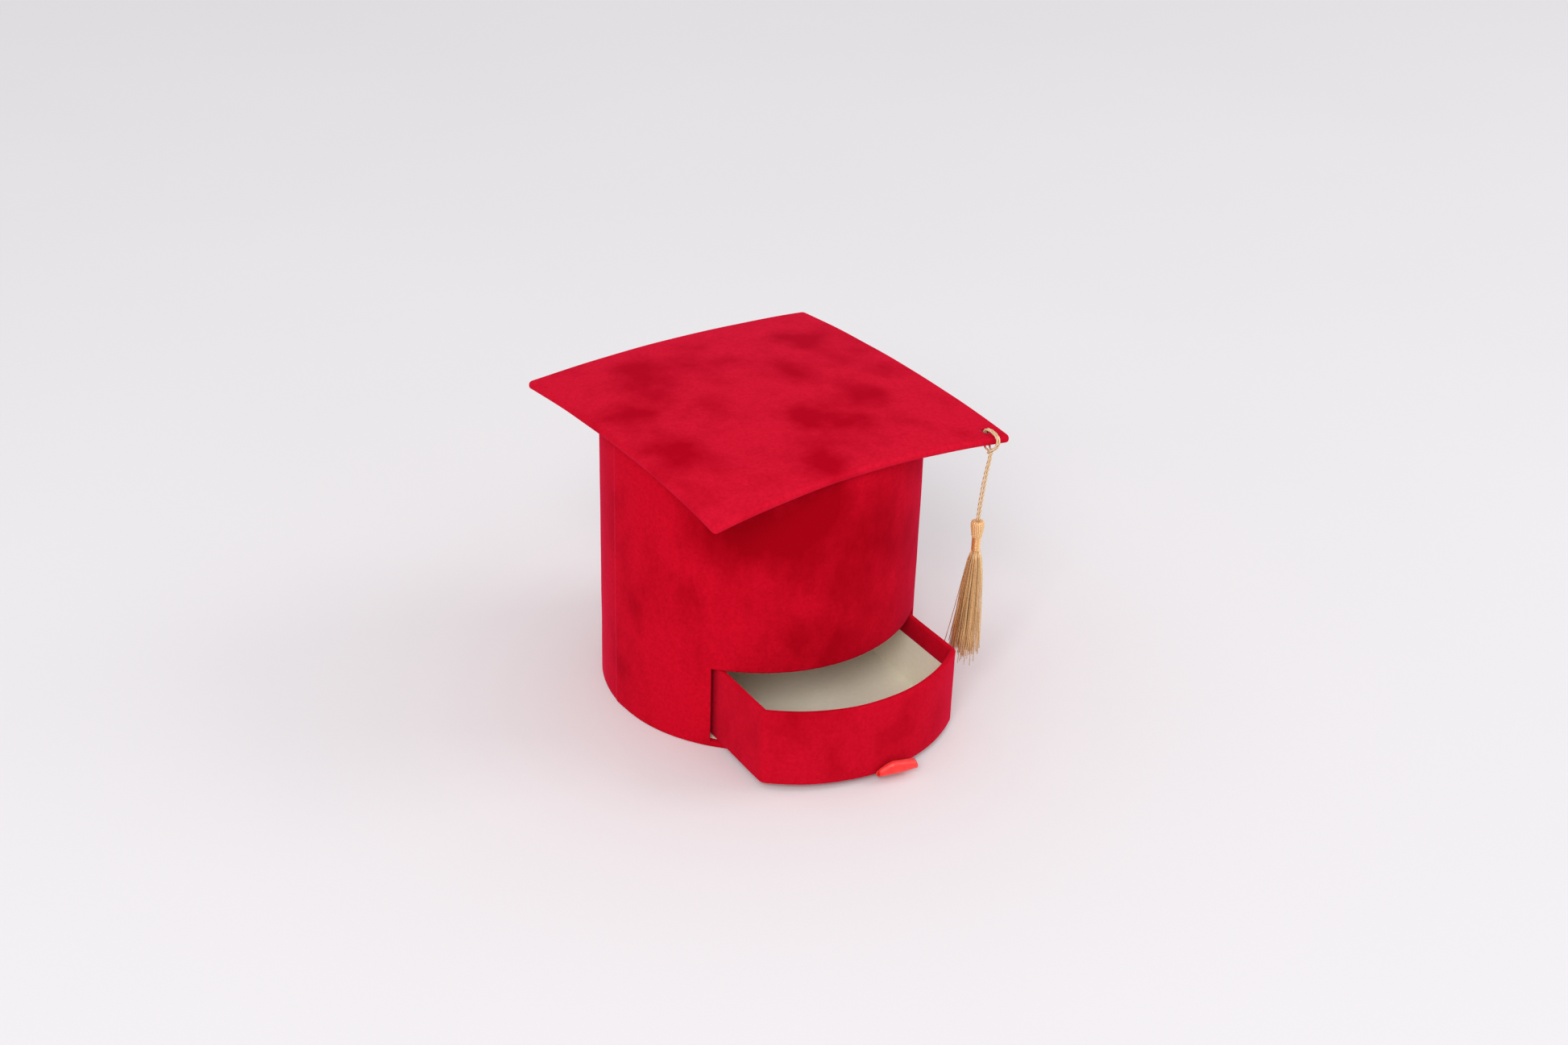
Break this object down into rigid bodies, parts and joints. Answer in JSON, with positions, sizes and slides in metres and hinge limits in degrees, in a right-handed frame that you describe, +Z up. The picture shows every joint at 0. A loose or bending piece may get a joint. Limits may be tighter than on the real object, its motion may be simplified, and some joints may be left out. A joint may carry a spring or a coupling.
{
  "type": "jewelry gift box",
  "caption": "Graduation-cap gift box in red velvet: round drum with lift-off square lid, cord tassel and a curved-front drawer with ribbon pull.",
  "frame": {"origin": "centre of the underside of the base, on the surface the box stands on", "axes": "+Z up through the drum, the drawer pulls out along -Y, +X to the right seen from the drawer side"},
  "size_m": [0.1658, 0.1998, 0.147],
  "materials": {
    "red_velvet": "short-pile crimson velvet paper, matt with a soft sheen",
    "cream_paper": "matt cream lining paper",
    "greyboard": "raw greyboard",
    "red_satin": "satin ribbon, glossy",
    "gold_cord": "twisted silky cord, satin",
    "gold_silk": "silky rayon threads, satin"
  },
  "bodies": {
    "drum": {"base_cover": "red_velvet", "base_board": "greyboard", "bay_floor_paper": "cream_paper", "drum_tube": "greyboard", "drum_wrap": "red_velvet", "drum_lining": "cream_paper", "bay_guide_left": "greyboard", "bay_guide_right": "greyboard", "bay_back_stop": "greyboard", "shelf_board": "greyboard", "shelf_paper": "cream_paper"},
    "drawer": {"drawer_floor": "greyboard", "drawer_wall_left": "greyboard", "drawer_wall_right": "greyboard", "drawer_wall_back": "greyboard", "drawer_front": "greyboard", "drawer_wrap": "red_velvet", "drawer_wall_lining": "cream_paper", "drawer_floor_paper": "cream_paper", "tab_root": "red_satin"},
    "pull_tab": {"pull_tab": "red_satin"},
    "lid": {"lid_board": "greyboard", "lid_wrap": "red_velvet", "lid_underside": "red_velvet", "lid_collar": "greyboard", "collar_wrap": "red_velvet", "lid_paper": "cream_paper", "hitch_cord": "gold_cord"},
    "tassel_cord": {"cord_strand_left": "gold_cord", "cord_strand_right": "gold_cord"},
    "tassel": {"tassel_head": "gold_silk", "tassel_binding": "gold_silk", "tassel_skirt": "gold_silk"}
  },
  "joints": [
    {"name": "drawer_slide", "type": "slide", "parent": "drum", "child": "drawer", "axis": [0, -1, 0], "range_m": [-0.035, 0.036]},
    {"name": "lid_lift", "type": "slide", "parent": "drum", "child": "lid", "axis": [0, 0, 1], "range_m": [0, 0.06]},
    {"name": "tassel_swing", "type": "hinge", "parent": "lid", "child": "tassel_cord", "pos_m": [0.07344, -0.07726, 0.1333], "axis": [-0.9986, -0.0523, 0], "range_deg": [-10, 60]},
    {"name": "tassel_sway", "type": "hinge", "parent": "tassel_cord", "child": "tassel", "pos_m": [0.07105, -0.07739, 0.0972], "axis": [0.0523, -0.9986, 0], "range_deg": [-6, 40]},
    {"name": "tab_flap", "type": "hinge", "parent": "drawer", "child": "pull_tab", "pos_m": [0.0055, -0.1105, 0.0036], "axis": [-1, 0, 0], "range_deg": [-20, 15], "stiffness_Nm_per_rad": 0.0004}
  ]
}
